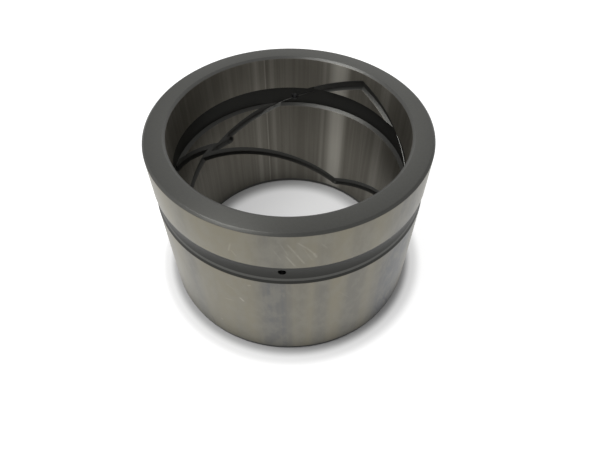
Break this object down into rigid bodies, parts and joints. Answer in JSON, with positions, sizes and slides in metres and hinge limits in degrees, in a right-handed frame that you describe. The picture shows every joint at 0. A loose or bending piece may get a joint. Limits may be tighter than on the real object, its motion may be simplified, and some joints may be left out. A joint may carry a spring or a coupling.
{
  "type": "bushing",
  "caption": "Steel pin bushing: a thin-walled turned sleeve with an oil groove outside, radial oil holes, and an oil groove and zigzag oil track in the bore.",
  "frame": {"origin": "on the axis, in the plane of the bottom face", "axes": "+Z along the axis towards the top face, which is the end opposite the lead-in; -Y towards the oil hole that faces the picture's camera; +X to its right"},
  "size_m": [0.13, 0.13, 0.09],
  "materials": {
    "steel": "satin, as machined"
  },
  "bodies": {
    "root": {"bushing": "steel"}
  },
  "joints": []
}
